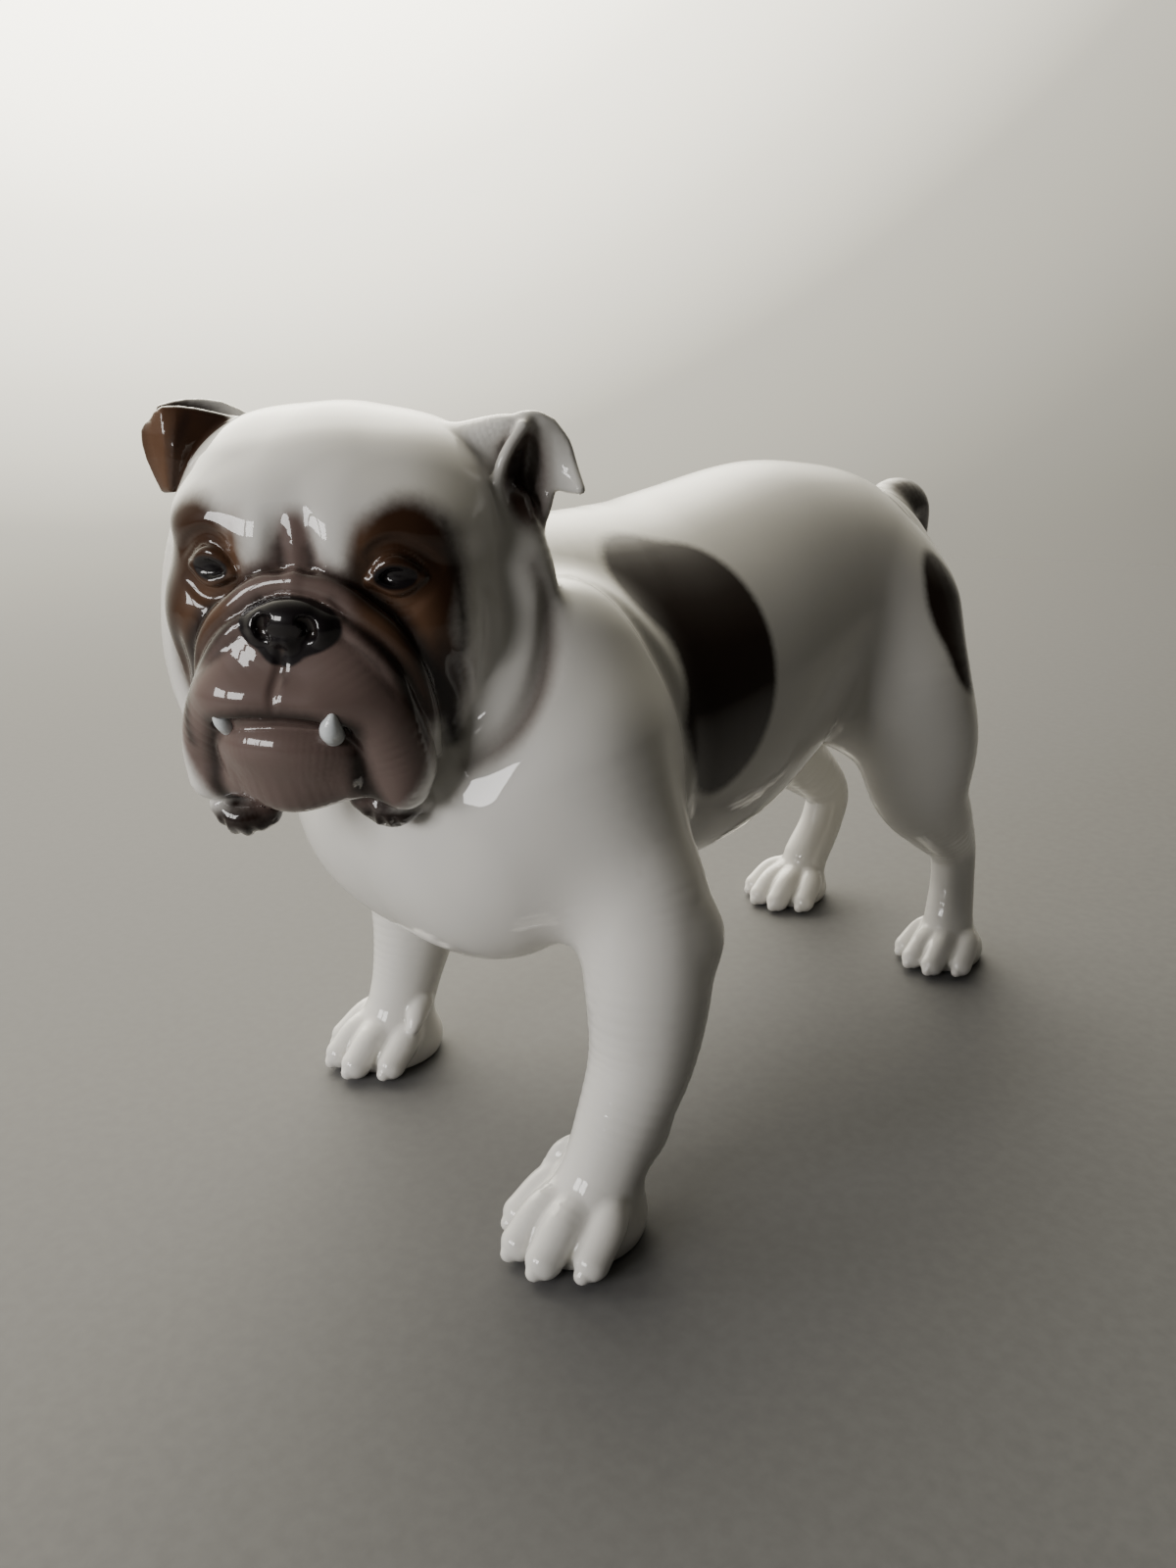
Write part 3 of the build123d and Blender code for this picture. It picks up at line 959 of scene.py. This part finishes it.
# painted shade in the face's grooves, mouth and ear openings, with dark paint along the patch rims
GROOVE_SHADE_AND_DARK_RIM = (0.018, 0.010, 0.008, 1)
SHADE = (0.080, 0.045, 0.034, 1)
INK = (0.008, 0.006, 0.007, 1)
# painted shade with pooled glaze in the face's creases
CREASE_SHADE_AND_POOLED_GLAZE = (0.14, 0.10, 0.08, 1)
# painted shade with pooled glaze between the toes
CLEFT_SHADE_AND_POOLED_GLAZE = (0.30, 0.28, 0.20, 1)
LAYERS = (
    ("taupe", TAUPE, 2.0),
    ("brown", BROWN, 2.0),
    ("tan", TAN, 3.0),
    ("coat", COAT, 1.5),
    ("shade", SHADE, 4.0),
    ("groove_shade_and_dark_rim", GROOVE_SHADE_AND_DARK_RIM, 1.6),
    ("ink", INK, 0.35),
)


def porcelain(name):
    """White body with airbrushed underglaze colours and painted shade beneath a clear, slightly uneven
    glaze.
    """
    n = Nodes(name)
    drift = n.ramp(n.noise(25.0), 0.3, 0.7)
    colour = n.over(WHITE, GREY, n.math("MULTIPLY", drift, 0.25))
    bristle = n.math("MULTIPLY_ADD", n.noise(900.0, 4.0), 0.6, -0.3)
    for mask, tone, softness in LAYERS:
        edge = n.math("MULTIPLY_ADD", bristle, min(1.0, softness), n.mask(mask))
        colour = n.over(colour, tone, n.ramp(edge, -softness, softness))
    # painted shade with pooled glaze in the face's creases and between the toes
    crease_shade_and_pooled_glaze = n.ramp(n.mask("hollow"), 0.10, 0.50, 0.0, 0.7)
    colour = n.over(colour, CREASE_SHADE_AND_POOLED_GLAZE, crease_shade_and_pooled_glaze)
    colour = n.over(colour, CLEFT_SHADE_AND_POOLED_GLAZE, n.ramp(n.mask("toe_cleft_shade_and_pooled_glaze"), 0.03, 0.30, 0.0, 0.75))
    return finished(n, colour)


def tooth_glaze(name):
    """Bluish white enamel, a little greyer in cloudy spots."""
    n = Nodes(name)
    cloud = n.ramp(n.noise(400.0), 0.45, 0.8)
    return finished(n, n.over((0.70, 0.74, 0.76, 1), (0.55, 0.56, 0.55, 1), cloud))


def finished(n, colour):
    """Clear wet-looking glaze over a colour, with a faint ripple in its surface."""
    n.tree.links.new(colour, n.shader.inputs["Base Color"])
    n.shader.inputs["Roughness"].default_value = 0.4
    n.shader.inputs["Specular IOR Level"].default_value = 0.1
    n.shader.inputs["Coat Weight"].default_value = 1.0
    n.shader.inputs["Coat Roughness"].default_value = 0.02
    bump = n.node("ShaderNodeBump", {"Height": n.noise(60.0), "Strength": 0.05, "Distance": 0.002})
    n.tree.links.new(bump.outputs["Normal"], n.shader.inputs["Coat Normal"])
    return n.material


SLOTS = {m["slot"] for m in frame["record"]["materials"]}
MATERIALS = {slot: (tooth_glaze if "tooth" in slot else porcelain)(slot) for slot in sorted(SLOTS)}
NODE_SLOT = {s["node"]: s["material_slot"] for s in frame["record"]["subparts"]}
CELLS = {"torso": BODY_CELL, "head": HEAD_CELL}


def canine(side):
    """Blunt lower tooth standing out of the lip."""
    clay = Clay()
    if side > 0:
        path = [(6.2, -28.4, -16.0), (6.4, -30.3, -14.4), (7.0, -31.2, -12.0)]
        radii = [1.9, 1.9, 0.8]
    else:
        path = [(-12.8, -27.2, -16.2), (-13.2, -28.6, -14.6), (-14.2, -29.2, -12.0)]
        radii = [1.5, 1.4, 0.5]
    clay.add(Rope(path, radii))
    return Posed(clay, HEAD.origin, HEAD.axes)


for name in TERRITORY:
    casting(name, BODY, CELLS.get(name, PAW_CELL), NODE_SLOT[name], owner=name)
for word, side in (("left", 1), ("right", -1)):
    name = word + "_lower_canine"
    casting(name, canine(side), TOOTH_CELL, NODE_SLOT[name])


# ---- stage --------------------------------------------------------------------------------------
def add_camera():
    """Camera at the reference view: a phone's main lens, close to the figurine."""
    azimuth, elevation, roll = (math.radians(a) for a in (50.0, 19.9, -3.2))
    place = np.array([215.0, -209.0, 170.0])
    lens_share = 1362.0 / 1600.0
    level = math.cos(elevation)
    back = np.array([math.sin(azimuth) * level, -math.cos(azimuth) * level, math.sin(elevation)])
    right = np.cross([0, 0, 1], back)
    right /= np.linalg.norm(right)
    up = np.cross(back, right)
    side = math.cos(roll) * right + math.sin(roll) * up
    top = -math.sin(roll) * right + math.cos(roll) * up
    data = bpy.data.cameras.new("camera")
    data.sensor_width = 36.0
    data.lens = 36.0 * lens_share
    data.clip_start = 0.01
    camera = bpy.data.objects.new("camera", data)
    turn = Matrix([Vector(v) for v in (side, top, back)]).transposed().to_4x4()
    camera.matrix_world = Matrix.Translation(Vector(row(place))) @ turn
    bpy.context.scene.collection.objects.link(camera)
    bpy.context.scene.camera = camera


def add_area(name, place, target, size, power, colour):
    data = bpy.data.lights.new(name, "AREA")
    data.shape = "RECTANGLE"
    data.size, data.size_y = size
    data.energy = power
    data.color = colour
    lamp = bpy.data.objects.new(name, data)
    lamp.location = place
    direction = Vector(target) - Vector(place)
    lamp.rotation_euler = direction.to_track_quat("-Z", "Y").to_euler()
    bpy.context.scene.collection.objects.link(lamp)
    return lamp


def floor_material():
    """Matt pale paper with painted light falloff, greyer towards the dog's left, that melts into the
    backdrop with distance.
    """
    n = Nodes("pale_paper")
    place = n.node("ShaderNodeTexCoord").outputs["Object"]
    across = n.node("ShaderNodeSeparateXYZ", {"Vector": place}).outputs["X"]
    # painted light falloff: the paper darkens towards the dog's left
    paper_with_painted_falloff = n.over((0.15, 0.148, 0.148, 1), (0.045, 0.045, 0.047, 1), n.ramp(across, -0.3, 0.4))
    grain = n.ramp(n.noise(350.0, 5.0), 0.2, 0.8, 0.0, 0.15)
    n.tree.links.new(n.over(paper_with_painted_falloff, (0.20, 0.20, 0.20, 1), grain), n.shader.inputs["Base Color"])
    n.shader.inputs["Roughness"].default_value = 0.75
    far = n.node("ShaderNodeVectorMath", {0: place}, operation="LENGTH").outputs["Value"]
    n.tree.links.new(n.ramp(far, 0.25, 1.1, 1.0, 0.0), n.shader.inputs["Alpha"])
    return n.material


def backdrop():
    """Soft surround: bright and warm high behind the dog's right, grey towards its left and below."""
    world = bpy.data.worlds.new("backdrop")
    world.use_nodes = True
    tree = world.node_tree
    sight = tree.nodes.new("ShaderNodeTexCoord").outputs["Generated"]
    toward = tree.nodes.new("ShaderNodeVectorMath")
    toward.operation = "DOT_PRODUCT"
    toward.inputs[1].default_value = (-0.74, 0.33, 0.58)
    tree.links.new(sight, toward.inputs[0])
    ramp = tree.nodes.new("ShaderNodeValToRGB")
    stops = (
        (0.0, 0.002), (0.3, 0.012), (0.5, 0.04), (0.6, 0.063), (0.66, 0.09),
        (0.725, 0.115), (0.785, 0.24), (0.845, 0.42), (0.89, 0.7), (0.94, 1.0),
    )
    while len(ramp.color_ramp.elements) < len(stops):
        ramp.color_ramp.elements.new(0.5)
    for stop, (place, light) in zip(ramp.color_ramp.elements, stops):
        stop.position = place
        stop.color = (light, 0.95 * light, 0.80 * light, 1)
    tree.nodes["Background"].inputs["Strength"].default_value = 8.0
    tree.links.new(toward.outputs["Value"], ramp.inputs["Fac"])
    tree.links.new(ramp.outputs["Color"], tree.nodes["Background"].inputs["Color"])
    bpy.context.scene.world = world


def add_stage():
    """Plain pale floor with painted light falloff, a two-paned window in front and soft daylight from the
    dog's right.
    """
    mesh = bpy.data.meshes.new("floor")
    reach = 3.0
    corners = [(-reach, -reach, 0), (reach, -reach, 0), (reach, reach, 0), (-reach, reach, 0)]
    mesh.from_pydata(corners, [], [(0, 1, 2, 3)])
    floor = bpy.data.objects.new("floor", mesh)
    bpy.context.scene.collection.objects.link(floor)
    mesh.materials.append(floor_material())
    backdrop()
    aim = (0.0, 0.0, 0.08)
    for pane in (-0.26, 0.26):
        add_area("window", (-0.02 + pane * 0.7, -1.15, 0.40), aim, (0.30, 0.34), 5.0, (1.0, 0.98, 0.96))
    daylight = add_area("daylight", (-1.0, -0.80, 0.50), aim, (0.7, 0.7), 6.0, (1.0, 0.97, 0.95))
    daylight.visible_glossy = False


add_camera()
add_stage()
